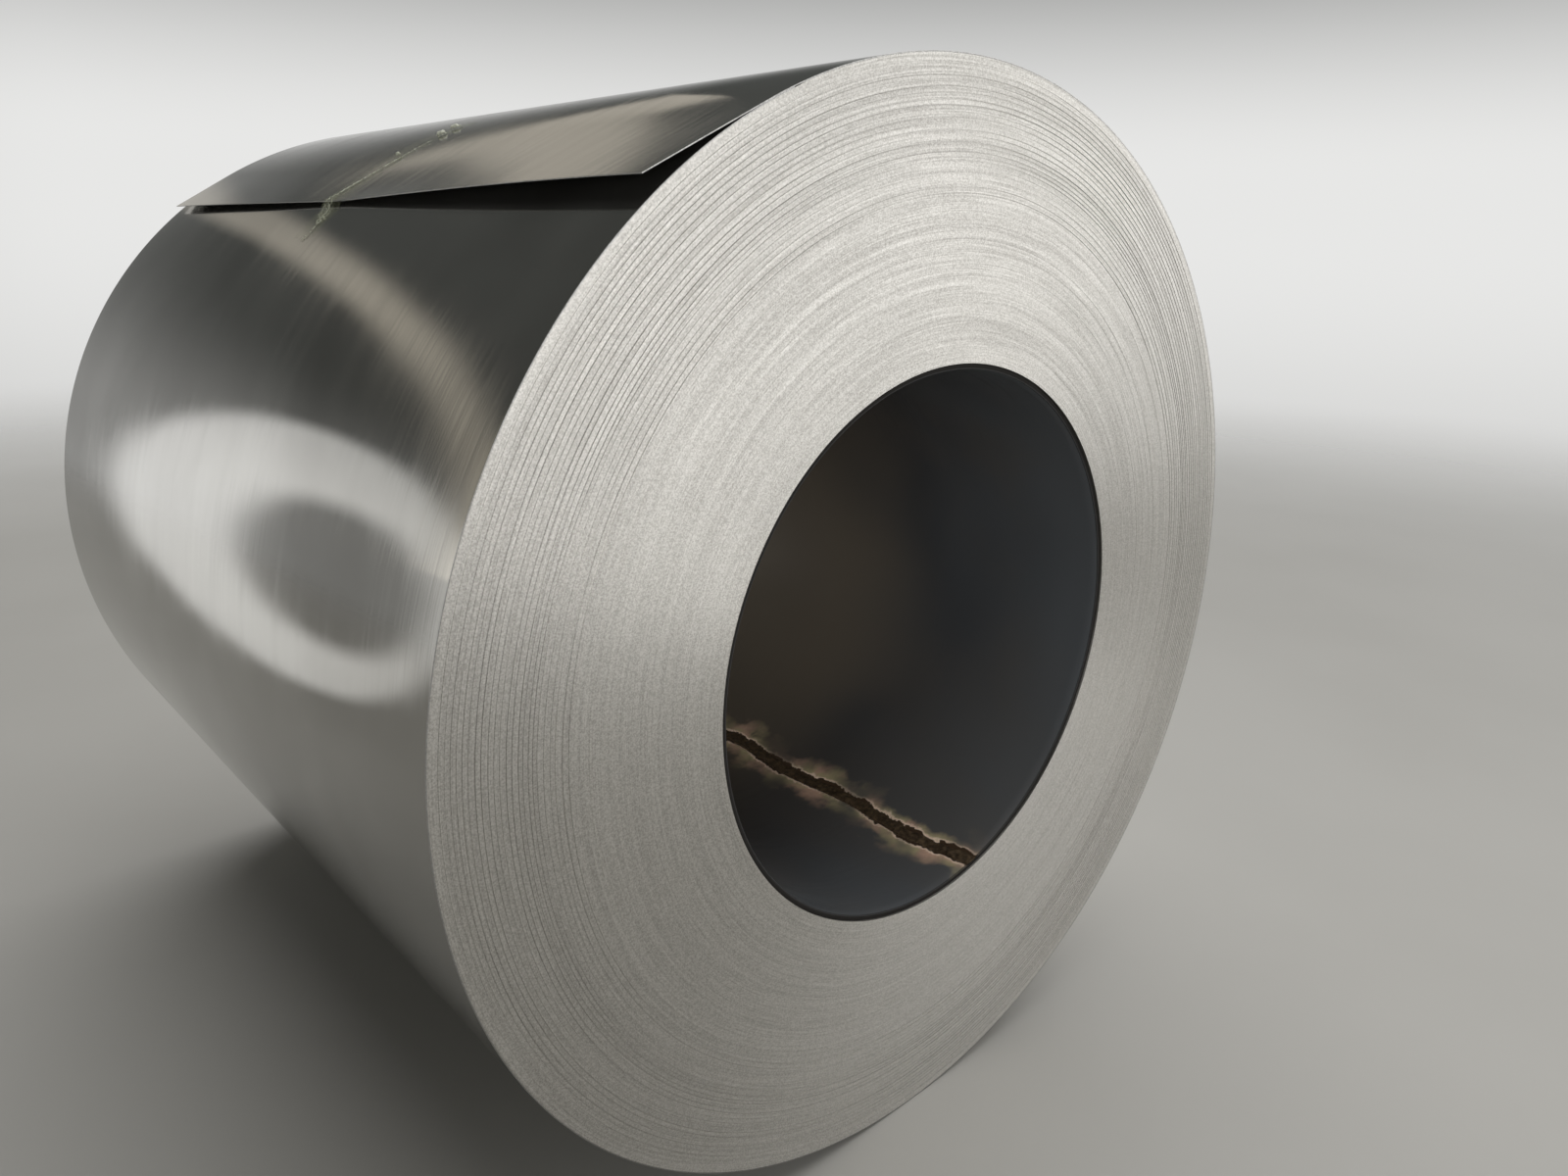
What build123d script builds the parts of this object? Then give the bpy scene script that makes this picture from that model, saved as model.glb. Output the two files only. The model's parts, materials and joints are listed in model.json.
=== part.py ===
from build123d import *
import os
from math import acos, cos, pi, radians, sin

os.makedirs("parts", exist_ok=True)

# A coil of steel strip lying on its wall, in millimetres. The bore runs along Y, +Z is up,
# and the origin is on the floor under the middle of the coil. Angles are about the bore,
# from +X, counter-clockwise as seen from the -Y end.

# Wound strip
coil_diameter = 990.0
strip_width = 1020.0
strip_gauge = 0.8
turns_in_step = 24  # neighbouring turns that were wound in line with each other
deepest_step = 1.1  # how far such a group may lie inside the end of the coil
step_rhythm = 1.9  # radians from group to group of the wave that sets their depths

# Sleeve that the strip is wound on
sleeve_bore = 508.0
sleeve_wall = 5.0
sleeve_recess = 2.0  # from each end of the coil
winding_clearance = 0.1

# Butt weld along the inside of the sleeve, its bead kept under the bore so that a mandrel passes
weld_angle = -73.5
weld_width = 16.0
weld_depth = 1.8
bead_width = 14.0
bead_crown_width = 8.0
bead_crown = 0.5  # from the bore down to the top of the bead
bead_penetration = 1.0  # how deep the bead is fused into the groove's floor
weld_wander = 3.0  # how far each of its two waves takes the weld aside
weld_short_wave = 190.0
weld_long_wave = 760.0
weld_stations = 27

# Tail, the loose end of the last turn
tail_end_angle = 130.0
tail_lift_near = 13.6
tail_lift_far = 5.5
tail_bedding = 0.2  # how deep the tail's root is let into the turned body
tail_stations = 4  # sections through the tail on each side of the tape

# Tape that holds the tail down, at the middle of the width
tape_width = 48.0
tape_thickness = 0.1
tape_clearance = 0.15  # it is creased, so it stands off the steel by about this much
tape_start_angle = 111.0
tape_finish_angle = 136.0
tape_bridge = 6.0  # length of the tape's slope from the tail's edge down to the wall

coil_radius = coil_diameter / 2
half_width = strip_width / 2
sleeve_bore_radius = sleeve_bore / 2
sleeve_radius = sleeve_bore_radius + sleeve_wall
strip_bore_radius = sleeve_radius + winding_clearance
sleeve_half_length = half_width - sleeve_recess
coil_axis = Axis((0, 0, coil_radius), (0, 1, 0))
axial_section = Plane.XY.offset(coil_radius)


def cross_section(y):
    """Plane across the coil at y, with its origin on the coil's axis."""
    return Plane(origin=(0, y, coil_radius), x_dir=(1, 0, 0), z_dir=(0, -1, 0))


def around(radius, angle):
    """Point of a cross section at a radius and an angle in radians."""
    return Vector(radius * cos(angle), radius * sin(angle))


def turn_steps(end_y):
    """Outline of one end of the wound strip, from the bore outwards, a flat for each group of turns."""
    build_up = coil_radius - strip_bore_radius
    groups = round(build_up / (turns_in_step * strip_gauge))
    inward = -1 if end_y > 0 else 1
    points = []
    for group in range(groups):
        outermost = group == groups - 1
        depth = 0 if outermost else deepest_step * sin(step_rhythm * group + inward) ** 2
        for edge in (group, group + 1):
            radius = strip_bore_radius + build_up * edge / groups
            points.append((radius, end_y + inward * depth))
    return points


def pressed_lift():
    """Height of the tail's end over the wall where the tape holds it flat."""
    return strip_gauge - tail_bedding


def tail_lift(y):
    """Height of the tail's end over the wall, which rises steeply towards the -Y end, gently to the other."""
    free_width = half_width - tape_width / 2
    along = max(abs(y) - tape_width / 2, 0) / free_width * pi / 2
    if y < 0:
        return pressed_lift() + (tail_lift_near - pressed_lift()) * sin(along)
    return pressed_lift() + (tail_lift_far - pressed_lift()) * (1 - cos(along))


def tail_line(lift):
    """Foot and end of the tail's outer side, which leaves the wall along a tangent."""
    end_angle = radians(tail_end_angle)
    root_radius = coil_radius - tail_bedding
    sweep_angle = acos(root_radius / (coil_radius + lift))
    return around(root_radius, end_angle - sweep_angle), around(coil_radius + lift, end_angle)


def tail_section(y):
    """Section through the tail at y, one gauge thick and square to its outer side."""
    foot, end = tail_line(tail_lift(y))
    inwards = foot.normalized() * -strip_gauge
    with BuildSketch(cross_section(y)) as section:
        with BuildLine():
            Polyline(foot, end, end + inwards, foot + inwards, close=True)
        make_face()
    return section.sketch


def weld_plane():
    """Plane against the bore along the weld, its X along the coil and its normal out into the wall."""
    outwards = around(1, radians(weld_angle))
    normal = (outwards.X, 0, outwards.Y)
    return Plane(coil_axis.position + Vector(normal) * sleeve_bore_radius, x_dir=(0, 1, 0), z_dir=normal)


def weld_line(reach, aside=0.0):
    """Points of the hand-laid weld from -reach to reach, which wanders in a long wave and a short one."""
    points = []
    for station in range(weld_stations):
        x = reach * (2 * station / (weld_stations - 1) - 1)
        wander = sin(2 * pi * x / weld_short_wave) + cos(2 * pi * x / weld_long_wave)
        points.append((x, aside + weld_wander * wander))
    return points


def bead_outline():
    """Section through the weld's bead, which stands on the groove's floor and stops short of the bore."""
    top = bead_crown - weld_depth
    left = [(-bead_width / 2, bead_penetration), (-bead_width / 2, 0), (-bead_crown_width / 2, top)]
    return left + [(-x, y) for x, y in reversed(left)]


# Wound strip: the turned body, then the tail in three lofts, sprung, taped down and sprung
with BuildPart() as strip_coil:
    with BuildSketch(axial_section):
        with BuildLine():
            Polyline(*turn_steps(-half_width), *reversed(turn_steps(half_width)), close=True)
        make_face()
    revolve(axis=coil_axis)

    free_run = (half_width - tape_width / 2) / (tail_stations - 1)
    near_stations = [-half_width + free_run * i for i in range(tail_stations)]
    far_stations = [-y for y in reversed(near_stations)]
    taped_stations = [near_stations[-1], far_stations[0]]
    for stations in (near_stations, taped_stations, far_stations):
        loft([tail_section(y) for y in stations])
strip_coil.part.label = "strip_coil"

# Sleeve: a turned tube with a wandering groove along its bore, nearly filled by the weld's bead
with BuildPart() as core_sleeve:
    with BuildSketch(axial_section):
        with Locations((sleeve_bore_radius + sleeve_wall / 2, 0)):
            Rectangle(sleeve_wall, 2 * sleeve_half_length)
    revolve(axis=coil_axis)

    groove_floor = weld_plane().offset(weld_depth)
    with BuildSketch(groove_floor):
        with BuildLine():
            left_edge = weld_line(half_width, weld_width / 2)
            right_edge = weld_line(half_width, -weld_width / 2)
            Polyline(*left_edge, *reversed(right_edge), close=True)
        make_face()
    extrude(amount=-2 * weld_depth, mode=Mode.SUBTRACT)

    for point in weld_line(sleeve_half_length):
        centre = groove_floor.from_local_coords(Vector(*point))
        with BuildSketch(Plane(centre, x_dir=groove_floor.y_dir, z_dir=groove_floor.x_dir)):
            with BuildLine():
                Polyline(*bead_outline(), close=True)
            make_face()
    loft(ruled=True)
core_sleeve.part.label = "core_sleeve"

# Tape: it follows the wall, the tail's pressed end, the drop off its edge and the wall again
with BuildPart() as tail_tape:
    with BuildSketch(cross_section(0)):
        with BuildLine():
            lie = coil_radius + tape_clearance
            foot, end = tail_line(pressed_lift())
            start_angle = radians(tape_start_angle)
            finish_angle = radians(tape_finish_angle)
            landing_angle = radians(tail_end_angle) + tape_bridge / coil_radius
            lifted_end = end.normalized() * (end.length + tape_clearance)
            crest_angle = radians(tail_end_angle) - acos(lie / lifted_end.length)
            RadiusArc(around(lie, start_angle), around(lie, crest_angle), -lie)
            Line(around(lie, crest_angle), lifted_end)
            Line(lifted_end, around(lie, landing_angle))
            RadiusArc(around(lie, landing_angle), around(lie, finish_angle), -lie)
            offset(amount=tape_thickness, side=Side.RIGHT)
        make_face()
    extrude(amount=tape_width / 2, both=True)
tail_tape.part.label = "tail_tape"

export_step(strip_coil.part, "parts/strip_coil.step")
export_step(core_sleeve.part, "parts/core_sleeve.step")
export_step(tail_tape.part, "parts/tail_tape.step")
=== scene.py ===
# %% [markdown]
# # A coil of bright steel strip
#
# The object is about 290 turns of 0.8 mm steel strip, wound on a dark steel sleeve, and it lies on its wall
# with the bore level. Three things make it look real: a wall that mirrors like polished sheet, ends that
# show every sheared edge as a fine ring, and the loose end of the last turn, the tail, which springs up at
# its corners on both sides of a piece of clear tape.
#
# The model loads first. Its sizes are the frame for everything that this lesson adds, so nothing is typed
# twice that the frame already knows.

# %% Load the frame
import json
from math import acos, atan2, cos, pi, radians, sin, sqrt

import bpy
from mathutils import Matrix, Vector, noise


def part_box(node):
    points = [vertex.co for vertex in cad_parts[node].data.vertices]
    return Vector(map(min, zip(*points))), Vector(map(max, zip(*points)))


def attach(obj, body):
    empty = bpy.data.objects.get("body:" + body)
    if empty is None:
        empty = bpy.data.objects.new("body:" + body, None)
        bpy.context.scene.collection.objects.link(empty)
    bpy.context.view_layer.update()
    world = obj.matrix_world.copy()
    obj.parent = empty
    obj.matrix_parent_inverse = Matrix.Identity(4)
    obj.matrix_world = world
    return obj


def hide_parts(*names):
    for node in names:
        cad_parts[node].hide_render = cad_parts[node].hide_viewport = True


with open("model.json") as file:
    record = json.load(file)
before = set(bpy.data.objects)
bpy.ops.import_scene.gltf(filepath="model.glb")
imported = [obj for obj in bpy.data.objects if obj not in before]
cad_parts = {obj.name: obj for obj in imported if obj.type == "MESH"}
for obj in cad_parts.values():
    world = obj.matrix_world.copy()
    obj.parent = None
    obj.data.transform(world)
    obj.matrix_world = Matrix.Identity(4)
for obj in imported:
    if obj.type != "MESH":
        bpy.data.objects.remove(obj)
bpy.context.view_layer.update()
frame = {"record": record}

# %% [markdown]
# ## Sizes
#
# The bore runs along Y, so the coil's radius is half its height and the strip's width is its length.
# Angles are measured round the bore from +X, counter-clockwise as seen from the -Y end, so the top is at 90
# degrees and the side nearest the camera at 180.

# %% Sizes from the frame
coil_low, coil_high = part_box("strip_coil")
sleeve_low, sleeve_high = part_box("core_sleeve")
tape_low, tape_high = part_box("tail_tape")
coil_radius = round((coil_high[2] - coil_low[2]) / 2, 4)
half_width = round((coil_high[1] - coil_low[1]) / 2, 4)
sleeve_radius = round((sleeve_high[0] - sleeve_low[0]) / 2, 4)
sleeve_reach = round((sleeve_high[1] - sleeve_low[1]) / 2, 4)
sleeve_bore = frame["record"]["mounts"][0]["dims"]["r_mm"] / 1000
tape_half = (tape_high[1] - tape_low[1]) / 2
axis_height = coil_radius
centre = Vector((0, 0, axis_height))
strip_gauge = 0.0008
print("radius", coil_radius, "half width", half_width, "sleeve", sleeve_radius, sleeve_bore, sleeve_reach)


def on_coil(radius, angle, y):
    """Point at a radius and an angle in radians about the bore, at y along it."""
    return Vector((radius * cos(angle), y, axis_height + radius * sin(angle)))


# %% [markdown]
# ## Camera
#
# The photograph is taken from close by with a wide lens, a little above the coil's middle and to its left.
# That strong perspective is much of the picture, so the camera stands where the picture was taken from. Its
# place was worked out from the outlines of the two ends and of the bore.

# %% Camera
camera_place = Vector((-0.7449, -1.0979, 0.8389))
camera_heading = radians(42.85)  # from +Y towards +X
camera_pitch = radians(-16.97)
camera_roll = radians(1.41)

camera_data = bpy.data.cameras.new("camera")
camera_data.sensor_width = 36
camera_data.lens = 25.14
camera_data.clip_end = 60
camera = bpy.data.objects.new("camera", camera_data)
bpy.context.scene.collection.objects.link(camera)
turn = Matrix.Rotation(-camera_heading, 4, "Z") @ Matrix.Rotation(pi / 2 + camera_pitch, 4, "X")
camera.matrix_world = Matrix.Translation(camera_place) @ turn @ Matrix.Rotation(camera_roll, 4, "Z")
bpy.context.scene.camera = camera
print("camera", [round(v, 3) for v in camera.location])

# %% [markdown]
# ## Helpers for modelling
#
# An operator acts on whatever is selected, and loading the frame leaves its nodes selected. So each piece
# starts from an empty selection. A finished piece keeps its origin at the world's, with its place in its
# mesh, and rides on the model's only body.
#
# Strip, plate and tape are all thin sheets wound about the bore. Each is modelled as a flat grid, wound on
# by moving its vertices, and then given its thickness.


# %% Helpers for modelling
def nothing_selected():
    """Leaves edit mode and clears the selection."""
    if bpy.context.object and bpy.context.object.mode != "OBJECT":
        bpy.ops.object.mode_set(mode="OBJECT")
    bpy.ops.object.select_all(action="DESELECT")


def select_only(obj):
    """Makes the object the one that operators act on."""
    nothing_selected()
    obj.select_set(True)
    bpy.context.view_layer.objects.active = obj


def finish_piece(obj, name, material_slot, *nodes):
    """Names the piece, settles its place into its mesh, puts it on the body and hides the nodes it stands
    for.
    """
    select_only(obj)
    bpy.ops.object.transform_apply(location=True, rotation=True, scale=True)
    obj.name = obj.data.name = name
    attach(obj, "root")
    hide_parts(*nodes)
    print(name, len(obj.data.polygons), "faces", [round(v, 3) for v in obj.dimensions])


# %% Helpers for sheets
def flat_strip(length, width, steps_along, steps_across):
    """A flat grid, length along X and width along Y, from which a sheet is wound on."""
    nothing_selected()
    bpy.ops.mesh.primitive_grid_add(x_subdivisions=steps_along, y_subdivisions=steps_across, size=1)
    strip = bpy.context.object
    strip.scale = (length, width, 1)
    bpy.ops.object.transform_apply(location=False, rotation=False, scale=True)
    return strip


def wind(strip, place):
    """Moves each vertex of a flat strip to place(x, y)."""
    for vertex in strip.data.vertices:
        vertex.co = place(vertex.co.x, vertex.co.y)


def apply_modifiers(obj):
    """Applies the object's modifiers in order."""
    select_only(obj)
    for modifier in list(obj.modifiers):
        bpy.ops.object.modifier_apply(modifier=modifier.name)


def give_thickness(sheet, thickness, inwards=True, rim_slot=0):
    """Gives a sheet its thickness. The faces of its rim may take another material slot."""
    modifier = sheet.modifiers.new("thickness", "SOLIDIFY")
    modifier.thickness = thickness
    modifier.offset = -1 if inwards else 1
    modifier.material_offset_rim = rim_slot
    apply_modifiers(sheet)


# %% [markdown]
# Nothing on a real coil is quite even. Two small helpers give that: a smooth noise that is the same on each
# run, and a clamp that keeps what comes of it between two limits. A factor on a place is about the number of
# swings to the metre, and the plain numbers beside it only pick a part of the noise that nothing else uses.


# %% Helpers for unevenness
def swing(x, y, z):
    """Smooth noise from about -1 to 1 at a point."""
    return noise.noise(Vector((x, y, z)))


def clamp(value, low=0, high=1):
    """The value, kept between two limits."""
    return max(low, min(high, value))


print("swing at a point", round(swing(0.3, 0.7, 0.1), 3))

# %% [markdown]
# ## The wound turns
#
# Each turn's sheared edge lies a little in or out of line with the next. Turns wander out together for a
# few rounds and jump back, so the end is a row of very flat cones. Near the bore these are slight and close
# up to each other. In the outer half a valley of one turn lies between them, deep enough to show as a dark
# ring, and along the rim the valleys are shallower and closer together.
#
# One could spin a profile. Here the end grows as a turner would cut it: a circle at the bore is extruded
# and scaled outwards for each cone, and extruded along the bore for each step. The same circle then runs
# down the wall, back in over the other end, and is bridged to its start, which closes the solid.

# %% Groups of turns
fit_gap = 0.00002  # between the wound body and the last turn
strip_bore = sleeve_radius + 0.0001
body_radius = coil_radius - strip_gauge - fit_gap
fewest_turns = 3
zones = (  # start in the build-up, spread of the turns, a cone's depth, a valley's depth and its spread
    (0.0, 5, 0.0002, 0.0, 0.0),
    (0.55, 3.5, 0.00014, 0.00025, 0.0003),
    (0.935, 2.5, 0.0001, 0.0002, 0.0002),
)


def chance(number):
    """A repeatable number from 0 to 1 that looks random from one whole number to the next."""
    return clamp(swing(number * 7.31, 3.7, 1.9) * 0.9 + 0.5)


def turn_groups(seed):
    """Each group's radius, turns, depth at both edges and depth of the valley beyond, from the bore out."""
    groups = []
    radius = strip_bore
    while radius < body_radius - 5 * strip_gauge:
        share = (radius - strip_bore) / (body_radius - strip_bore)
        _, turn_spread, cone, valley, valley_spread = [zone for zone in zones if share >= zone[0]][-1]
        draws = [chance(seed + 31 * len(groups) + 7 * draw) for draw in range(4)]
        turns = fewest_turns + int(turn_spread * draws[0])
        shape = (cone * draws[1], cone * draws[2], valley + valley_spread * draws[3])
        groups.append((radius, turns, *shape))
        radius += (turns + (shape[2] > 0)) * strip_gauge
    return groups


near_groups = turn_groups(11)
far_groups = turn_groups(400)
print("groups of turns on the near end", len(near_groups), "on the far end", len(far_groups))


# %% Profile of the wound body
def end_profile(groups, end_y):
    """Radius and y of each corner of one end, from the bore outwards."""
    inward = -1 if end_y > 0 else 1
    starts = [group[0] for group in groups[1:]] + [body_radius]
    corners = []
    for (radius, turns, inner_depth, outer_depth, valley), next_radius in zip(groups, starts):
        edge = radius + turns * strip_gauge if valley and next_radius != body_radius else next_radius
        corners += [(radius, end_y + inward * inner_depth), (edge, end_y + inward * outer_depth)]
        if edge != next_radius:
            corners += [(r, end_y + inward * (outer_depth + valley)) for r in (edge, next_radius)]
    return corners


profile = end_profile(near_groups, -half_width) + end_profile(far_groups, half_width)[::-1]
print("corners in the profile", len(profile))

# %% Turn the wound body
nothing_selected()
first_radius, first_y = profile[0]
bpy.ops.mesh.primitive_circle_add(
    vertices=208, radius=first_radius, location=(0, first_y, axis_height), rotation=(pi / 2, 0, 0)
)
coil_body = bpy.context.object
bpy.ops.object.transform_apply(location=True, rotation=True, scale=True)
bpy.ops.object.mode_set(mode="EDIT")
bpy.ops.mesh.select_mode(type="EDGE")
bpy.ops.mesh.select_all(action="SELECT")
for (radius, y), (next_radius, next_y) in zip(profile, profile[1:]):
    bpy.ops.mesh.extrude_edges_move(TRANSFORM_OT_translate={"value": (0, next_y - y, 0)})
    if next_radius != radius:
        growth = next_radius / radius
        bpy.ops.transform.resize(value=(growth, 1, growth), center_override=centre)
print("turned from", profile[0], "to", profile[-1])

# %% Close the body along its bore
bpy.ops.mesh.select_all(action="DESELECT")
bpy.ops.mesh.select_non_manifold(extend=False)
bpy.ops.mesh.bridge_edge_loops()
bpy.ops.mesh.select_all(action="SELECT")
bpy.ops.mesh.normals_make_consistent(inside=False)
bpy.ops.object.mode_set(mode="OBJECT")
bpy.ops.object.shade_smooth_by_angle(angle=radians(20))
finish_piece(coil_body, "wound_turns", "strip_steel", "strip_coil")

# %% [markdown]
# ## The last turn and its tail
#
# The last turn is what makes the wall, and its end is the tail. A strip is easiest to model flat and then
# wind on: a grid as long as a turn and a bit more, each vertex moved to its angle and radius. The turn goes
# from the tail over the top, down to the floor and up the other side, where it loses one gauge of radius
# and tucks under its own end.
#
# The tail leaves the wall along a straight tangent. Tape holds it in the middle, though not quite down, as
# the dark gap under its whole edge shows, and it lifts towards both ends, more at the near one.

# %% Shape of the last turn
tail_end = radians(130)
tail_lift_near = 0.0136
tail_lift_taped = 0.0034
tail_lift_far = 0.0058
tucked_under = radians(16)
floor_angle = radians(-90)
tuck_arc = floor_angle - tail_end + 2 * pi
turn_length = (2 * pi + tucked_under) * coil_radius


def tail_lift(y):
    """Height of the tail's end over the wall."""
    along = max(abs(y) - tape_half, 0) / (half_width - tape_half) * pi / 2
    end_lift = tail_lift_near if y < 0 else tail_lift_far
    return tail_lift_taped + (end_lift - tail_lift_taped) * sin(along)


def gauge_lost(angle):
    """Share of a gauge that the strip has lost in radius, from none at the floor to all at its tucked end."""
    return min(1, max(floor_angle - angle, 0) / tuck_arc)


def sheet_radius(angle, y):
    """Outer radius of the last turn, at an angle that counts down from the tail's end."""
    radius = coil_radius - strip_gauge * gauge_lost(angle)
    foot = tail_end - acos(coil_radius / (coil_radius + tail_lift(y)))
    if angle > foot:
        radius += coil_radius * (1 / cos(angle - foot) - 1)
    return radius


print("tail's lift, near to far", [round(tail_lift(y), 4) for y in (-half_width, 0, half_width)])


# %% Wind the last turn on
def place_on_turn(x, y):
    """Place on the wound turn of a point of the flat strip, whose -X end is the tail."""
    angle = tail_end - (x + turn_length / 2) / coil_radius
    return on_coil(sheet_radius(angle, y), angle, y)


last_turn = flat_strip(turn_length, 2 * half_width, steps_along=440, steps_across=36)
wind(last_turn, place_on_turn)
for _ in range(2):  # a slot for the sheet and one for its cut edge
    last_turn.data.materials.append(None)
give_thickness(last_turn, strip_gauge, rim_slot=1)
bpy.ops.object.shade_smooth_by_angle(angle=radians(40))
finish_piece(last_turn, "last_turn", "strip_steel", "strip_coil")

# %% [markdown]
# The turn under the last one fits it closely, so the outer rings of the wound body follow the inside of the
# last turn: one gauge in all the way down to the floor, then more, up to where the strip has tucked under
# itself.


# %% Fit the body to the last turn
def inside_of_turn(angle):
    """Radius of the last turn's inner side, where the body under it ends."""
    below_end = (tail_end - angle) % (2 * pi)
    start = tail_end - below_end - (2 * pi if below_end < tucked_under else 0)
    return coil_radius - strip_gauge * (1 + gauge_lost(start)) - fit_gap


for vertex in coil_body.data.vertices:
    x, y, z = vertex.co
    if sqrt(x * x + (z - axis_height) ** 2) > body_radius - 1e-5:
        angle = atan2(z - axis_height, x)
        vertex.co = on_coil(inside_of_turn(angle), angle, y)
print("body under the last turn", round(inside_of_turn(0), 5), "to", round(inside_of_turn(tail_end - 0.1), 5))

# %% [markdown]
# ## The sleeve and its weld
#
# The sleeve is plate, rolled until its two edges meet and welded along the joint, so it is made like that:
# a flat plate with a small bevel on its rims, wound so that its edges meet on the weld, and merged there.
# The joint wanders, and along it the plate is ground away to a shallow groove that the bead fills.

# %% Weld line
weld_angle = radians(-73.5)
weld_wander = 0.003
weld_short_wave = 0.19
weld_long_wave = 0.76
weld_half = 0.008
weld_depth = 0.0018


def weld_aside(y):
    """How far the weld lies aside of its straight line, round the bore."""
    return weld_wander * (sin(2 * pi * y / weld_short_wave) + cos(2 * pi * y / weld_long_wave))


print("weld's swing, near to far", [round(weld_aside(y), 4) for y in (-half_width, 0, half_width)])

# %% Plate for the sleeve
plate_length = 2 * pi * sleeve_bore
sleeve = flat_strip(plate_length, 2 * sleeve_reach, steps_along=240, steps_across=90)
give_thickness(sleeve, sleeve_radius - sleeve_bore)
bpy.ops.object.mode_set(mode="EDIT")
bpy.ops.mesh.select_mode(type="FACE")
bpy.ops.mesh.select_all(action="DESELECT")
bpy.ops.object.mode_set(mode="OBJECT")
for face in sleeve.data.polygons:
    face.select = abs(face.normal.x) > 0.9
bpy.ops.object.mode_set(mode="EDIT")
bpy.ops.mesh.delete(type="FACE")
bpy.ops.object.mode_set(mode="OBJECT")
rounding = sleeve.modifiers.new("rims", "BEVEL")
rounding.width = 0.0006
rounding.segments = 2
rounding.limit_method = "ANGLE"
rounding.angle_limit = radians(60)
apply_modifiers(sleeve)
print("plate", [round(v, 3) for v in sleeve.dimensions])

# %% Roll the sleeve
gathering = 1.5  # above 1 it draws the plate's rows towards the weld, where the groove needs them
groove_margin = 0.0008  # by which the groove is wider than the weld
groove_bank = 0.001
groove_fade = 0.004  # depth in the plate at which the groove no longer moves anything
wander_fade = 0.12  # distance from the weld at which the plate no longer wanders with it
merge_distance = 0.00002


def place_on_sleeve(x, y, z):
    """Place in the bore of a point of the flat plate, whose edges meet on the weld, finer near it."""
    side = -1 if x < 0 else 1
    from_weld = (1 - min(abs(2 * x / plate_length), 1)) ** gathering * pi
    groove = clamp((weld_half + groove_margin - from_weld * sleeve_bore) / groove_bank)
    groove *= max(0, 1 + z / groove_fade)
    nearness = max(0, 1 - from_weld * sleeve_bore / wander_fade)
    angle = weld_angle + side * (pi - from_weld) + pi + nearness * weld_aside(y) / sleeve_bore
    return on_coil(sleeve_bore - z + groove * weld_depth, angle, y)


for vertex in sleeve.data.vertices:
    vertex.co = place_on_sleeve(*vertex.co)
bpy.ops.object.mode_set(mode="EDIT")
bpy.ops.mesh.select_all(action="SELECT")
bpy.ops.mesh.remove_doubles(threshold=merge_distance)
bpy.ops.mesh.normals_make_consistent(inside=False)
bpy.ops.object.mode_set(mode="OBJECT")
bpy.ops.object.shade_smooth_by_angle(angle=radians(40))
finish_piece(sleeve, "rolled_sleeve", "sleeve_steel", "core_sleeve")

# %% [markdown]
# The bead is laid by hand in short pushes of the torch, so it is a row of overlapping lumps, and its edges
# run in and out. Its form comes from a flat ribbon too: each point is lifted to a low dome whose width and
# height change along the joint. It stays under the bore's wall, because a mandrel has to pass.

# %% Lay the bead
bead_half = 0.0066
bead_raggedness = 0.0058
push_length = 0.0125  # of the torch
push_bow = 2.6  # how far a push's ripple trails at the bead's edges, in radians of the ripple
bead_height = 0.0011
bead_crown = 0.35  # the lower, the flatter its top and the steeper its sides
ripple_height = 0.0003
lump_height = 0.0006
bead_clearance = 0.00003  # under the bore's wall
bead_root = 0.001  # thickness under its surface
bead_end_gap = 0.001  # at each rim of the sleeve


def ragged(y, seed, size, coarse_waves=60, fine_waves=260):
    """A small uneven swing along the weld, in coarse and fine steps."""
    return size * (0.65 * swing(y * coarse_waves, seed, 0) + 0.35 * swing(y * fine_waves, seed, 5))


def place_on_bead(x, y):
    """Place of a point of the bead's flat ribbon: x runs from -1 to 1 over its width."""
    half = min(weld_half, bead_half + ragged(y, 3 if x < 0 else 9, bead_raggedness))
    dome = max(0, 1 - x * x) ** bead_crown
    ripple = 0.5 + 0.5 * sin(2 * pi * y / push_length + push_bow * x * x + 4 * swing(y * 30, 1, 2))
    lumps = swing(x * 2.2, y * 140, 7)
    height = dome * (bead_height + ripple_height * ripple + lump_height * lumps)
    radius = sleeve_bore + max(bead_clearance, weld_depth - height)
    return on_coil(radius, weld_angle + (weld_aside(y) + x * half) / sleeve_bore, y)


bead = flat_strip(2, 2 * sleeve_reach - 2 * bead_end_gap, steps_along=18, steps_across=560)
wind(bead, place_on_bead)
give_thickness(bead, bead_root)
bpy.ops.object.shade_smooth_by_angle(angle=radians(50))
finish_piece(bead, "weld_bead", "sleeve_steel", "core_sleeve")

# %% [markdown]
# ## Tape
#
# A length of clear packing tape holds the tail down. It went on in a hurry, so it is bunched into a thin
# rope that runs aslant to the tail's edge, fans out over it and ends in a crease. It has trapped two bubbles
# at its upper end and a small one further down, and its lower end is torn. Cloth simulation would be slow
# for something so thin. The rope is laid out by a few stations along the tape, ridged noise folds it, and
# the same sheet is laid over the tail's edge and down to the wall.

# %% Bubbles and rope
tape_start = radians(111)
tape_finish = radians(136)
tape_length = (tape_finish - tape_start) * coil_radius
bubbles = (  # distance along the tape, place across it, size
    (0.018, -0.009, 0.0052),
    (0.037, -0.014, 0.0050),
    (0.084, -0.002, 0.0026),
)
rope_stations = (  # distance along the tape, place across it, half width
    (0.000, -0.020, 0.0003),
    (0.070, -0.020, 0.0006),
    (0.090, -0.016, 0.0018),
    (0.120, -0.005, 0.0026),
    (0.150, 0.009, 0.0046),
    (0.161, 0.012, 0.0130),
    (0.176, 0.004, 0.0180),
    (0.187, -0.004, 0.0120),
    (0.194, -0.008, 0.0024),
    (0.230, -0.004, 0.0013),
)
full_rope_half = 0.002  # a wider rope has less tape to bunch up, so it is lower


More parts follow.
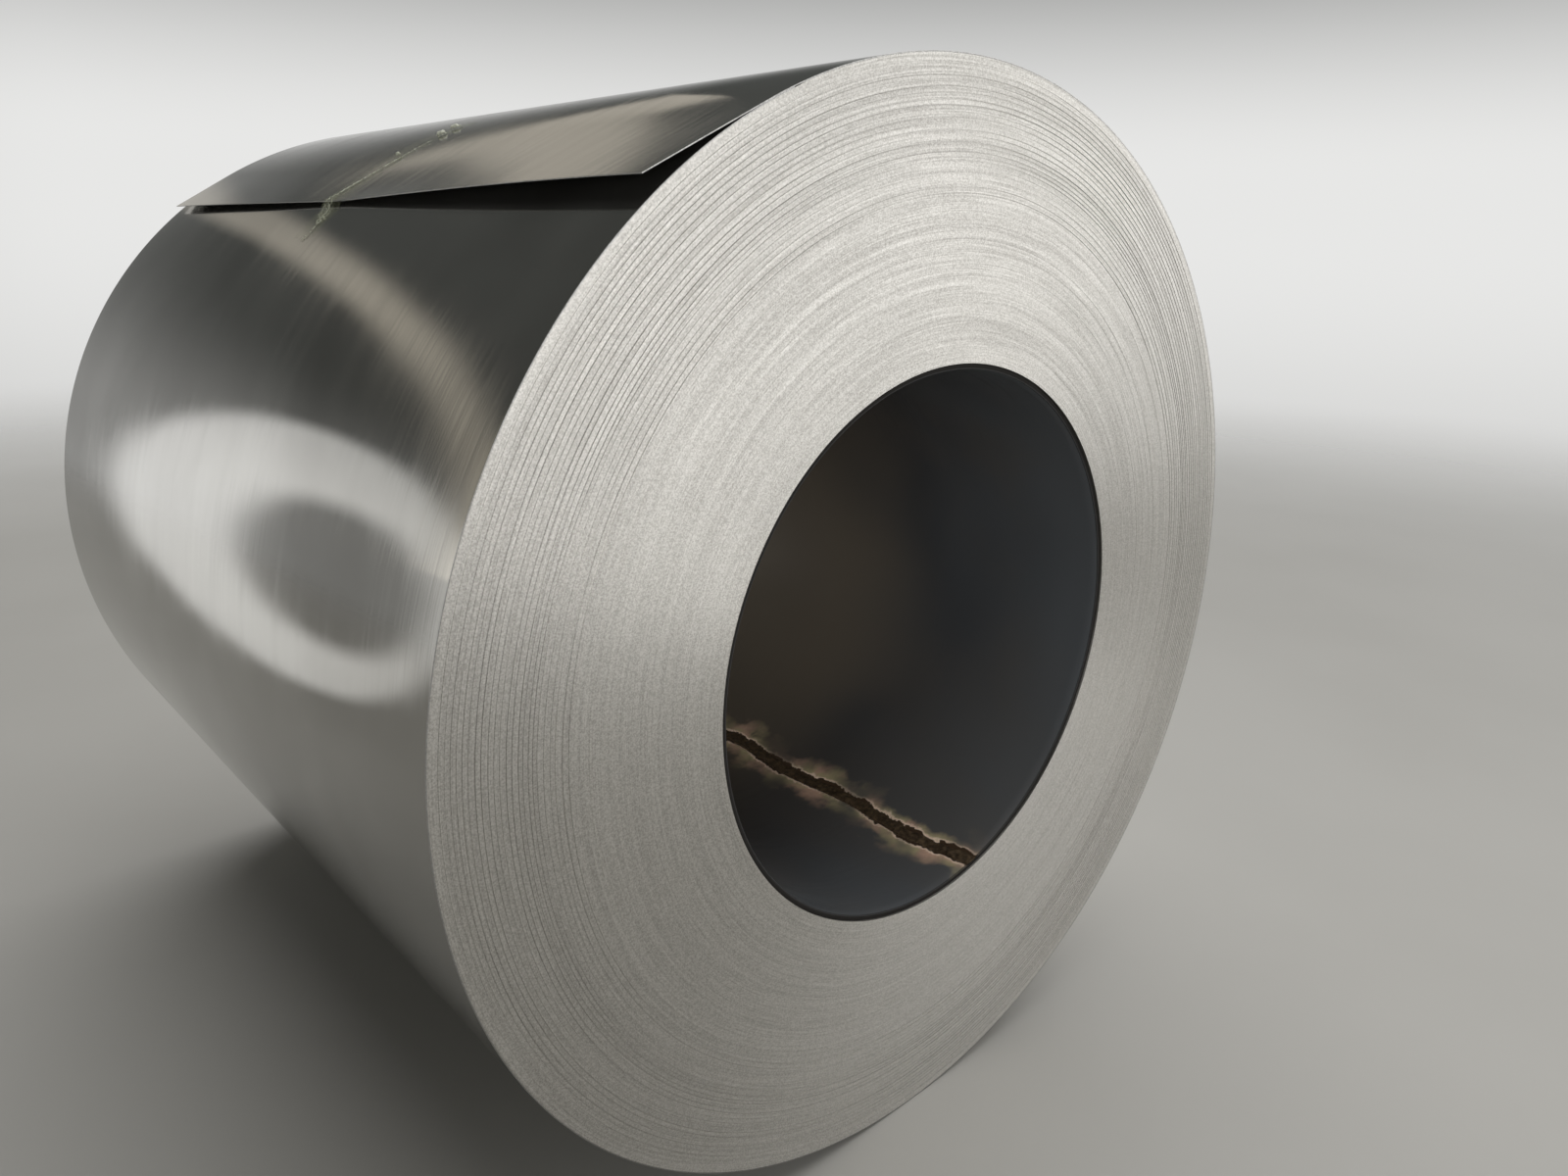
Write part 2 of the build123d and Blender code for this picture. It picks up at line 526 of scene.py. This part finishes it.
def rope(x, y):
    """Share of the rope's height at a point of the tape, 1 along its middle and 0 beside it."""
    for (x0, middle0, half0), (x1, middle1, half1) in zip(rope_stations, rope_stations[1:]):
        if x <= x1:
            share = max(0, x - x0) / (x1 - x0)
            wobble = 0.0015 * swing(x * 90, 6, 1) + 0.0012 * swing(x * 280, 6, 1)
            middle = middle0 + share * (middle1 - middle0) + wobble
            half = half0 + share * (half1 - half0)
            frayed = clamp(0.75 + 1.1 * swing(x * 380, y * 420, 9))
            section = max(0, 1 - ((y - middle) / half) ** 2) ** 0.4
            return section * min(1, full_rope_half / half) ** 0.14 * frayed
    return 0


def bubble(x, y):
    """Share of a bubble's height at a point of the tape."""
    crumple = 1.2 + 0.6 * swing(x * 320, y * 320, 5)
    insides = (crumple - ((x - bx) ** 2 + (y - by) ** 2) / size**2 for bx, by, size in bubbles)
    return min(1, max(0, *insides) ** 0.8)


print("tape", round(tape_length, 3), "long, its rope from", rope_stations[0][0], "to", rope_stations[-1][0])

# %% Folds of the tape
tape_drop = radians(1.2)  # arc over which it comes down from the tail's edge to the wall
tape_wander = 0.003
tape_gather = 0.94  # bunched as it is, it covers a little less than its width
tape_stand_off = 0.00018
fold_height = 0.0016
bubble_height = 0.0024


def ridge(value, steepness, sharpness):
    """A ridge that stands where the value is 0."""
    return max(0, 1 - abs(value) * steepness) ** sharpness


def crease(along, across):
    """Height of the tape's folds, as a share of the highest one."""
    wander = swing(along * 9, across * 20, 4)
    large = ridge(swing(along * 14, across * 95 + wander * 2, 8), 2.4, 3)
    small = ridge(swing(along * 120, across * 160, 2), 2.2, 2)
    return 0.5 * large + 0.5 * small


def fold_share(x, y):
    """How strongly the tape is folded: along the rope, a little all over, and on the bubbles."""
    all_over = 0.10 * crease(x, y)
    return min(1, all_over + rope(x, y) * (0.42 + 0.58 * crease(x * 2, y * 1.7)) + bubble(x, y))


def place_on_tape(x, y):
    """Place of a point of the flat tape, x from its upper end."""
    angle = tape_start + x / coil_radius
    aside = tape_wander * swing(x * 15, 0, 3) + y * tape_gather
    on_tail = clamp((tail_end + tape_drop - angle) / tape_drop)
    wall = coil_radius - strip_gauge
    over_wall = on_tail * (sheet_radius(min(angle, tail_end), aside) - wall)
    rise = tape_stand_off + fold_height * fold_share(x, y) + bubble_height * bubble(x, y)
    return on_coil(wall + over_wall + rise, angle, aside)


print("folds along the tape's middle", [round(fold_share(x / 100, 0), 2) for x in range(0, 22, 3)])

# %% Lay the tape
film_gauge = 0.00008
tear_depth = 0.005
large_tears, small_tears = 0.007, 0.004
tape = flat_strip(tape_length, 2 * tape_half, steps_along=300, steps_across=90)
fold = tape.data.attributes.new("fold", "FLOAT", "POINT")
for number, vertex in enumerate(tape.data.vertices):
    y = vertex.co.y
    torn = tear_depth + large_tears * swing(y * 130, 2, 6) + small_tears * swing(y * 500, 2, 6)
    x = (tape_length / 2 - vertex.co.x) * (1 - torn / tape_length)
    fold.data[number].value = fold_share(x, y)
    vertex.co = place_on_tape(x, y)
give_thickness(tape, film_gauge, inwards=False)
bpy.ops.object.shade_smooth_by_angle(angle=radians(60))
finish_piece(tape, "creased_tape", "clear_tape", "tail_tape")

# %% [markdown]
# ## Node helpers
#
# Every finish here is made of shader nodes, and a short way of adding them keeps the recipes readable: one
# call adds a node, sets its properties and fills or links its inputs, and another links a shader's inputs.


# %% Helpers that add and link nodes
def fill(node, socket, value):
    """Links a socket's input where the value is an output, and otherwise sets it."""
    if isinstance(value, bpy.types.NodeSocket):
        node.id_data.links.new(value, socket)
    else:
        socket.default_value = value


def put(tree, kind, inputs=None, **settings):
    """Adds a shader node, sets its properties and fills its inputs with values or links."""
    node = tree.nodes.new("ShaderNode" + kind)
    for name, value in settings.items():
        setattr(node, name, value)
    for name, value in (inputs or {}).items():
        fill(node, node.inputs[name], value)
    return node


def feed(node, **inputs):
    """Fills a node's inputs. An underscore in a name stands for a space."""
    for name, value in inputs.items():
        fill(node, node.inputs[name.replace("_", " ")], value)


def calc(tree, operation, first, second=0.0, third=0.0):
    """Result of a Math node."""
    return put(tree, "Math", {0: first, 1: second, 2: third}, operation=operation).outputs[0]


def remap(tree, value, low, high, to_low=0.0, to_high=1.0):
    """A value moved smoothly from one range to another."""
    inputs = {"Value": value, "From Min": low, "From Max": high, "To Min": to_low, "To Max": to_high}
    return put(tree, "MapRange", inputs, interpolation_type="SMOOTHSTEP").outputs["Result"]


# %% Helpers for colours, noise and bumps
def mix_colours(tree, share, first, second):
    """Colour between two colours or sockets."""
    node = put(tree, "Mix", data_type="RGBA")
    for name, value in (("Factor_Float", share), ("A_Color", first), ("B_Color", second)):
        socket = next(s for s in node.inputs if s.identifier == name)
        fill(node, socket, (*value, 1) if isinstance(value, tuple) else value)
    return next(s for s in node.outputs if s.identifier == "Result_Color")


def noise_at(tree, place, scale, stretch=(1, 1, 1), detail=2.0, roughness=0.5, distortion=0.0):
    """Value of a noise on a place stretched by a Mapping node."""
    mapped = put(tree, "Mapping", {"Vector": place, "Scale": stretch}).outputs[0]
    node = put(tree, "TexNoise", {"Vector": mapped, "Scale": scale})
    feed(node, Detail=detail, Roughness=roughness, Distortion=distortion)
    return node.outputs[0]


def bump(tree, height, distance, strength, over=None):
    """Normal that a height gives, over another bump's normal where there is one."""
    node = put(tree, "Bump", {"Height": height, "Distance": distance, "Strength": strength})
    if over:
        feed(node, Normal=over)
    return node.outputs[0]


def round_bore(tree):
    """Direction round the bore, in which rolling and shearing leave their lines."""
    return put(tree, "Tangent", direction_type="RADIAL", axis="Y").outputs[0]


# %% Helpers for groups and materials
def new_group(name, inputs, outputs):
    """A node group with named sockets, the sockets that carry its inputs, and its output node."""
    group = bpy.data.node_groups.new(name, "ShaderNodeTree")
    for socket, kind in inputs:
        group.interface.new_socket(socket, in_out="INPUT", socket_type="NodeSocket" + kind)
    for socket, kind in outputs:
        group.interface.new_socket(socket, in_out="OUTPUT", socket_type="NodeSocket" + kind)
    print("group", name, "gives", [socket for socket, _ in outputs])
    return group, group.nodes.new("NodeGroupInput").outputs, group.nodes.new("NodeGroupOutput")


def use_group(tree, group, **inputs):
    """Places a group in a material, with its own values."""
    node = tree.nodes.new("ShaderNodeGroup")
    node.node_tree = group
    feed(node, **inputs)
    return node.outputs


def new_material(name, piece, index=0, **constants):
    """A material on a slot of the piece, with its shader's plain numbers set, and its place socket."""
    material = bpy.data.materials.new(name)
    material.use_nodes = True
    tree = material.node_tree
    shader = tree.nodes["Principled BSDF"]
    feed(shader, **constants)
    while len(piece.data.materials) <= index:
        piece.data.materials.append(None)
    piece.data.materials[index] = material
    print("material", name, "on", piece.name)
    return tree, shader, put(tree, "TexCoord").outputs["Object"]


# %% [markdown]
# ## Places on a coil
#
# Rings, rows and the weld all go by the distance from the bore's axis or by the angle about it. The first
# group turns a plain place into these. Its "Ring place" is for noise: the radius is one direction and the
# place round the ring the other two, so a pattern drawn out along the turns has no seam.

# %% Group for places about the bore
polar, polar_in, polar_out = new_group(
    "place about the bore",
    [("Place", "Vector")],
    [("Radius", "Float"), ("Angle", "Float"), ("Ring place", "Vector")],
)
across, _, up = put(polar, "SeparateXYZ", {0: polar_in["Place"]}).outputs
over_axis = calc(polar, "SUBTRACT", up, axis_height)
from_axis = calc(
    polar, "SQRT", calc(polar, "ADD", calc(polar, "POWER", across, 2), calc(polar, "POWER", over_axis, 2))
)
ring_place = put(
    polar,
    "CombineXYZ",
    {
        0: from_axis,
        1: calc(polar, "DIVIDE", across, from_axis),
        2: calc(polar, "DIVIDE", over_axis, from_axis),
    },
).outputs[0]
feed(polar_out, Radius=from_axis, Angle=calc(polar, "ARCTAN2", over_axis, across), Ring_place=ring_place)

# %% [markdown]
# Handling and oil leave soft patches on a steel surface, some duller and some cleaner. One group gives them
# to the wall and to the sleeve, each at its own size, along with faint wipe marks round the coil.

# %% Group for smudges
smudges, smudges_in, smudges_out = new_group(
    "smudges", [("Place", "Vector"), ("Size", "Float")], [("Patches", "Float"), ("Wipes", "Float")]
)
patch_scale = calc(smudges, "DIVIDE", 1.0, smudges_in["Size"])
patches = noise_at(smudges, smudges_in["Place"], patch_scale, detail=4, distortion=0.6)
wipes = noise_at(smudges, smudges_in["Place"], patch_scale, (1, 9, 1), detail=5, roughness=0.7)
feed(
    smudges_out,
    Patches=remap(smudges, patches, 0.35, 0.68),
    Wipes=remap(smudges, wipes, 0.45, 0.72),
)

# %% [markdown]
# ## Bright sheet
#
# The wall is the strip's own surface, bright from the last rolling pass, so it is a metal of low roughness.
# What keeps it from looking like a perfect mirror is fine lines along the rolling direction, which runs
# round the coil, an oil film with dull patches, and a slow waviness.

# %% Bright sheet
clean_sheet = (0.31, 0.303, 0.28)
oily_sheet = (0.38, 0.373, 0.348)
tree, shader, place = new_material(
    "bright_sheet", last_turn, Metallic=0.88, Anisotropic=0.5, Anisotropic_Rotation=0.25
)
oil = use_group(tree, smudges, Place=place, Size=0.22)
rolling = noise_at(tree, place, 1.0, (3, 700, 3), detail=3)
dullness = calc(tree, "MULTIPLY_ADD", oil["Patches"], 0.03, 0.06)
dullness = calc(tree, "MULTIPLY_ADD", oil["Wipes"], 0.03, dullness)
dullness = calc(tree, "MULTIPLY_ADD", remap(tree, rolling, 0.4, 0.8), 0.06, dullness)
waves = bump(tree, noise_at(tree, place, 4.5, (1, 0.7, 1), detail=1), distance=0.0012, strength=1.0)
feed(
    shader,
    Base_Color=mix_colours(tree, oil["Patches"], clean_sheet, oily_sheet),
    Roughness=dullness,
    Normal=bump(tree, rolling, distance=0.000012, strength=1.0, over=waves),
    Tangent=round_bore(tree),
)

# %% [markdown]
# ## Sheared ends
#
# Each turn shows its sheared edge: half cut, half torn, so it is matt and sparkles like sand. The rows of
# edges are drawn as noise over the radius in three sizes, single turns, small groups and wide bands, all
# drawn out along the turns, with a grain of burrs over them. The valleys between the groups are real ones,
# and the material only darkens what lies deep in them. The tail's cut edge is the same steel seen close.

# %% Group for the rows of edges
rows, rows_in, rows_out = new_group(
    "rows of edges", [("Place", "Vector")], [("Tone", "Float"), ("Height", "Float"), ("Grain", "Float")]
)
ring = use_group(rows, polar, Place=rows_in["Place"])["Ring place"]
single_turns = noise_at(rows, ring, 1.0, (900, 3, 3), detail=2, roughness=0.7)
small_groups = noise_at(rows, ring, 1.0, (310, 0.6, 0.6), detail=2, roughness=0.6)
wide_bands = noise_at(rows, ring, 1.0, (70, 0.3, 0.3), detail=2)
grain = noise_at(rows, rows_in["Place"], 850, detail=2, roughness=0.7)
tone = calc(rows, "MULTIPLY_ADD", single_turns, 0.62, calc(rows, "MULTIPLY", small_groups, 0.31))
tone = calc(rows, "MULTIPLY_ADD", wide_bands, 0.07, tone)
feed(rows_out, Tone=tone, Height=calc(rows, "MULTIPLY_ADD", grain, 0.55, tone), Grain=grain)

# %% Sheared ends
dark_row, light_row = (0.405, 0.390, 0.363), (0.57, 0.554, 0.521)
dark_grain, light_grain = (0.315, 0.302, 0.277), (0.65, 0.636, 0.604)
valley_shade = (0.12, 0.11, 0.095)
tree, shader, place = new_material(
    "sheared_ends", coil_body, Metallic=1.0, Anisotropic=0.7, Anisotropic_Rotation=0.25
)
edges = use_group(tree, rows, Place=place)
row_colour = mix_colours(tree, remap(tree, edges["Tone"], 0.38, 0.62), dark_row, light_row)
grain_colour = mix_colours(tree, remap(tree, edges["Grain"], 0.36, 0.64), dark_grain, light_grain)
along = put(tree, "SeparateXYZ", {0: place}).outputs[1]
depth = calc(tree, "SUBTRACT", half_width, calc(tree, "ABSOLUTE", along))
in_valley = calc(tree, "MULTIPLY", remap(tree, depth, 0.0003, 0.0011), 0.5)
steel = mix_colours(tree, 0.5, row_colour, grain_colour)
feed(
    shader,
    Base_Color=mix_colours(tree, in_valley, steel, valley_shade),
    Roughness=remap(tree, edges["Tone"], 0.3, 0.7, 0.48, 0.38),
    Normal=bump(tree, edges["Height"], distance=0.0005, strength=0.28),
    Tangent=round_bore(tree),
)

# %% Cut edge of the last turn
dark_cut, light_cut = (0.20, 0.196, 0.188), (0.36, 0.355, 0.342)
tree, shader, place = new_material("cut_edge", last_turn, index=1, Metallic=1.0)
grain = noise_at(tree, place, 900, detail=2)
feed(
    shader,
    Base_Color=mix_colours(tree, remap(tree, grain, 0.3, 0.7), dark_cut, light_cut),
    Roughness=remap(tree, grain, 0.3, 0.7, 0.45, 0.28),
)

# %% [markdown]
# ## Sleeve, weld and heat tint
#
# Hot rolled plate has a nearly black scale with a dull sheen. Over it is painted reflection: blue-grey near
# both ends and a brown sheen deep inside, with the black scale as a darker ring between. Next to the weld the
# heat has burnt it to tan, in a ragged edge that fades out. The material finds its distance from the same
# wandering line that the bead follows, so the burn stays on the joint without anything being painted by hand.
# The cut rims are black and dull.

# %% Distance from the weld
tree, shader, place = new_material("scaled_plate", sleeve, Specular_IOR_Level=0.4)
about = use_group(tree, polar, Place=place)
along = put(tree, "SeparateXYZ", {0: place}).outputs[1]
long_wave = calc(tree, "COSINE", calc(tree, "MULTIPLY", along, 2 * pi / weld_long_wave))
short_wave = calc(tree, "SINE", calc(tree, "MULTIPLY", along, 2 * pi / weld_short_wave))
line = calc(tree, "MULTIPLY", calc(tree, "ADD", long_wave, short_wave), weld_wander)
arc = calc(tree, "MULTIPLY", calc(tree, "SUBTRACT", about["Angle"], weld_angle), sleeve_bore)
from_line = calc(tree, "ABSOLUTE", calc(tree, "SUBTRACT", arc, line))
bitten = remap(tree, noise_at(tree, place, 42, detail=2), 0.3, 0.7, -0.0016, 0.0036)
nibbled = remap(tree, noise_at(tree, place, 210, detail=3, roughness=0.6), 0.3, 0.7, -0.0012, 0.0012)
weld_edge = calc(tree, "ADD", calc(tree, "ADD", nibbled, bitten), weld_half)
from_edge = calc(tree, "SUBTRACT", from_line, weld_edge)

# %% Scale and painted reflection
painted_blue_reflection = (0.095, 0.102, 0.109)
black_scale = (0.048, 0.050, 0.054)
painted_brown_reflection = (0.118, 0.099, 0.075)
brown_patch = (0.105, 0.088, 0.070)
mottle = use_group(tree, smudges, Place=place, Size=0.3)
from_middle = calc(tree, "ABSOLUTE", along)
drift = remap(tree, noise_at(tree, place, 4, detail=1), 0.3, 0.7, -0.04, 0.04)
inward = calc(tree, "SUBTRACT", sleeve_reach, calc(tree, "ADD", from_middle, drift))
# Painted reflection: the blue-grey near both ends and the brown deeper in stand for reflections in the bore,
# over the black scale.
plate = mix_colours(tree, remap(tree, inward, 0.03, 0.24), painted_blue_reflection, black_scale)
plate = mix_colours(tree, remap(tree, inward, 0.18, 0.42), plate, painted_brown_reflection)
plate = mix_colours(tree, calc(tree, "MULTIPLY", mottle["Patches"], 0.35), plate, brown_patch)

# %% Heat tint beside the weld
pink_tan, yellow_tan = (0.62, 0.40, 0.29), (0.52, 0.44, 0.25)
blanched = (0.95, 0.74, 0.58)
burnt_black = (0.055, 0.034, 0.020)
reach = remap(tree, noise_at(tree, place, 26, detail=3), 0.3, 0.7, 0.010, 0.036)
strength = remap(tree, noise_at(tree, place, 16, detail=3), 0.32, 0.6, 0.12, 1.0)
haze = remap(tree, calc(tree, "DIVIDE", from_edge, reach), 0.0, 1.0, 1.0, 0.0)
haze = calc(tree, "MULTIPLY", haze, strength)
hue = remap(tree, noise_at(tree, place, 30, detail=2), 0.4, 0.6)
tinted = mix_colours(tree, haze, plate, mix_colours(tree, hue, pink_tan, yellow_tan))
hottest = calc(tree, "MULTIPLY", remap(tree, from_edge, 0.0004, 0.0040, 1.0, 0.0), strength)
tinted = mix_colours(tree, hottest, tinted, blanched)
in_groove = remap(tree, from_edge, -0.0006, 0.0004, 1.0, 0.0)
tinted = mix_colours(tree, in_groove, tinted, burnt_black)

# %% Rims of the sleeve, and the finish of the plate
rim_black = (0.030, 0.028, 0.026)
past_bevel = remap(tree, about["Radius"], sleeve_bore + 0.0003, sleeve_bore + 0.0012)
near_rim = remap(tree, from_middle, sleeve_reach - 0.0016, sleeve_reach - 0.0006)
on_bevel = calc(tree, "MULTIPLY", near_rim, 0.8)
on_rim = calc(tree, "MAXIMUM", calc(tree, "MULTIPLY", past_bevel, near_rim), on_bevel)
worn = remap(tree, mottle["Wipes"], 0.0, 1.0, 0.34, 0.46)
pits = noise_at(tree, place, 260, detail=4, roughness=0.6)
feed(
    shader,
    Base_Color=mix_colours(tree, on_rim, tinted, rim_black),
    Metallic=calc(tree, "MULTIPLY_ADD", on_rim, 0.75, 0.25),
    Roughness=calc(tree, "MULTIPLY_ADD", on_rim, 0.45, worn),
    Normal=bump(tree, pits, distance=0.0003, strength=0.3),
)

# %% Weld metal
dark_slag, rusty_slag = (0.04, 0.026, 0.014), (0.13, 0.088, 0.048)
tree, shader, place = new_material("weld_metal", bead, Metallic=0.5)
slag = noise_at(tree, place, 190, detail=4, roughness=0.7)
feed(
    shader,
    Base_Color=mix_colours(tree, remap(tree, slag, 0.35, 0.7), dark_slag, rusty_slag),
    Roughness=remap(tree, slag, 0.3, 0.7, 0.42, 0.68),
    Normal=bump(tree, slag, distance=0.0012, strength=0.8),
)

# %% [markdown]
# ## Clear tape
#
# Packing film is clear with a yellow-green cast from its glue. Flat on the steel it nearly disappears, and
# where it is bunched or lifted it turns whitish. So its alpha is low, and rises with the folds, which the
# piece carries as an attribute of its own mesh.

# %% Clear tape
glue_tint, folded_white = (0.60, 0.63, 0.40), (0.94, 0.95, 0.82)
tree, shader, place = new_material("clear_tape", tape, Metallic=0.0, IOR=1.48)
white = remap(tree, put(tree, "Attribute", attribute_name="fold").outputs["Fac"], 0.12, 0.85)
streaks = noise_at(tree, place, 60, (1, 5, 1), detail=3)
film = remap(tree, streaks, 0.35, 0.75, 0.025, 0.07)
feed(
    shader,
    Base_Color=mix_colours(tree, white, glue_tint, folded_white),
    Alpha=calc(tree, "MULTIPLY_ADD", white, 0.62, film),
    Roughness=calc(tree, "MULTIPLY_ADD", white, 0.3, 0.16),
    Normal=bump(tree, streaks, distance=0.0006, strength=0.6),
)

# %% [markdown]
# ## Floor, background and light
#
# A mirror shows what is round it, so the surroundings are half of this finish. They are those of a plain
# studio: a pale floor that keeps the shadow and fades into the background, and a background that is pale at
# eye level and darker higher up and on the left, where the wall faces. That gives the wall its dark upper
# part and its deep tone. Camera, reflections and seen-through tape all get the same background.

# %% Floor
nothing_selected()
bpy.ops.mesh.primitive_circle_add(vertices=96, radius=9, fill_type="NGON", location=(0, 0, -0.0005))
floor = bpy.context.object
floor.name = floor.data.name = "floor"
bpy.ops.object.mode_set(mode="EDIT")
bpy.ops.mesh.inset(thickness=4)
bpy.ops.object.mode_set(mode="OBJECT")

# %% Floor paint
worn_paint, fresh_paint = (0.47, 0.456, 0.425), (0.50, 0.486, 0.455)
tree, shader, place = new_material("floor_paint", floor, Roughness=0.55)
cloudy = remap(tree, noise_at(tree, place, 1.2, detail=4), 0.3, 0.7)
from_coil = put(tree, "VectorMath", {0: place}, operation="LENGTH").outputs["Value"]
feed(
    shader,
    Base_Color=mix_colours(tree, cloudy, worn_paint, fresh_paint),
    Alpha=remap(tree, from_coil, 2.0, 7.0, 1, 0),
)

# %% Background
dim_left, pale_right = (0.39, 0.39, 0.384), (0.80, 0.80, 0.79)
dim_low = (0.36, 0.36, 0.352)
dark_above = (0.070, 0.074, 0.070)
world = bpy.data.worlds.new("studio")
bpy.context.scene.world = world
world.use_nodes = True
tree = world.node_tree
direction = put(tree, "TexCoord").outputs["Generated"]
aside, _, rise = put(tree, "SeparateXYZ", {0: direction}).outputs
eye_level = mix_colours(tree, remap(tree, aside, -0.3, 0.2), dim_left, pale_right)
below = mix_colours(tree, remap(tree, rise, -0.4, 0.02), dim_low, eye_level)
dark_from = remap(tree, aside, -0.2, 0.2, 0.02, 0.07)
dark_at = remap(tree, aside, -0.2, 0.2, 0.27, 0.33)
sky = mix_colours(tree, remap(tree, rise, dark_from, dark_at), below, dark_above)
feed(tree.nodes["Background"], Color=sky)
print("background", world.name, len(tree.nodes), "nodes")

# %% [markdown]
# Three large softboxes light the seen end from the front and the right. They are wide, because a small lamp
# shows in the bright wall as a glaring spot, and a narrow spread keeps them off the rest.

# %% Softboxes
end_middle = Vector((0, -half_width, axis_height))
softbox_distance = 4.2
softbox_rise = radians(8)


def add_softbox(name, place, aim, width, height, power, spread=180):
    """A rectangular lamp that points from its place at its aim."""
    data = bpy.data.lights.new(name, "AREA")
    data.shape = "RECTANGLE"
    data.size, data.size_y, data.energy = width, height, power
    data.spread = radians(spread)
    lamp = bpy.data.objects.new(name, data)
    bpy.context.scene.collection.objects.link(lamp)
    lamp.location = place
    lamp.rotation_euler = (Vector(aim) - Vector(place)).to_track_quat("-Z", "Y").to_euler()
    lamp.visible_camera = False
    print(name, power, "W")
    return lamp


for name, degrees, power in (("front", 10, 8.5), ("front right", 38, 5.2), ("right", 62, 5.2)):
    bearing = radians(degrees)  # from -Y towards +X
    level = cos(softbox_rise)
    way = Vector((sin(bearing) * level, -cos(bearing) * level, sin(softbox_rise)))
    add_softbox(name, end_middle + softbox_distance * way, end_middle, 3.2, 2.4, power, spread=80)

# %% [markdown]
# The wall gets a ring light from behind on the left: its mirror image is a bright oval with a darker middle,
# which shows how the sheet curves. An arch behind it draws a band over the dark upper wall, a long lamp far
# behind draws another over the tail, and a small lamp by the camera looks into the bore. The ring and the
# arch are plain rectangular lamps whose brightness goes by the distance from a point of theirs. The ring's
# hole is measured from a second point, so it lies a little aside. A wide sun from above adds what an open
# sky would.


# %% Ring light and arch
def shape_lamp(lamp, middle, hole, stretch, inner, outer, one_side=1.0):
    """Lights only a ring about a point of the lamp, with a hole about another, and dims it to one side."""
    lamp.data.use_nodes = True
    tree = lamp.data.node_tree
    on_lamp = put(tree, "NewGeometry").outputs["Parametric"]

    def distance_from(point):
        centred = put(tree, "VectorMath", {0: on_lamp, 1: point}, operation="SUBTRACT").outputs[0]
        scaled = put(tree, "VectorMath", {0: centred, 1: stretch}, operation="MULTIPLY").outputs[0]
        return put(tree, "VectorMath", {0: scaled}, operation="LENGTH").outputs["Value"]

    rising = remap(tree, distance_from(hole), *inner)
    falling = remap(tree, distance_from(middle), *outer, 1.0, 0.0)
    sideways = remap(tree, put(tree, "SeparateXYZ", {0: on_lamp}).outputs[0], 0.0, 0.5, one_side, 1.0)
    lit = calc(tree, "MULTIPLY", calc(tree, "MULTIPLY", rising, falling), sideways)
    feed(tree.nodes["Emission"], Strength=lit)


ring_light = add_softbox("ring", (-1.01, 0.99, 0.515), (-0.39, -0.66, 0.575), 0.72, 0.96, 0.39, spread=80)
shape_lamp(
    ring_light,
    middle=(0.5, 0.5, 0.0),
    hole=(0.60, 0.48, 0.0),
    stretch=(2.0, 2.0, 0.0),
    inner=(0.43, 0.63),
    outer=(0.86, 1.0),
)
arch = add_softbox("arch", (-1.0, 2.5, 1.375), (-1.0, 0.0, 1.375), 2.7, 1.35, 6.8)
shape_lamp(
    arch,
    middle=(0.5, 0.0, 0.0),
    hole=(0.5, 0.0, 0.0),
    stretch=(2.7, 1.35, 0.0),
    inner=(1.04, 1.16),
    outer=(1.22, 1.35),
    one_side=0.3,
)

# %% Strip light, bore light and sun
strip_light = add_softbox("strip", (2.1, 5.9, 3.6), (-0.3, -0.2, 0.9), 3.2, 0.7, 3.4)
warm_white = (1.0, 0.91, 0.77)
for lamp in (arch, strip_light):
    lamp.data.color = warm_white
add_softbox("bore", (-0.95, -1.75, 0.80), (0.12, -0.30, 0.42), 0.3, 0.3, 0.8, spread=36)

overhead = bpy.data.lights.new("overhead", "SUN")
overhead.energy = 2.0
overhead.angle = radians(76)
overhead_lamp = bpy.data.objects.new("overhead", overhead)
overhead_lamp.rotation_euler = Vector((0.35, 0.1, 1)).to_track_quat("Z", "Y").to_euler()
bpy.context.scene.collection.objects.link(overhead_lamp)
print("overhead", overhead.energy, "W per square metre")

# %% [markdown]
# ## Finish
#
# The colours are shown as they are, with no film curve over them.

# %% Finish
scene = bpy.context.scene
scene.view_settings.view_transform = "Standard"
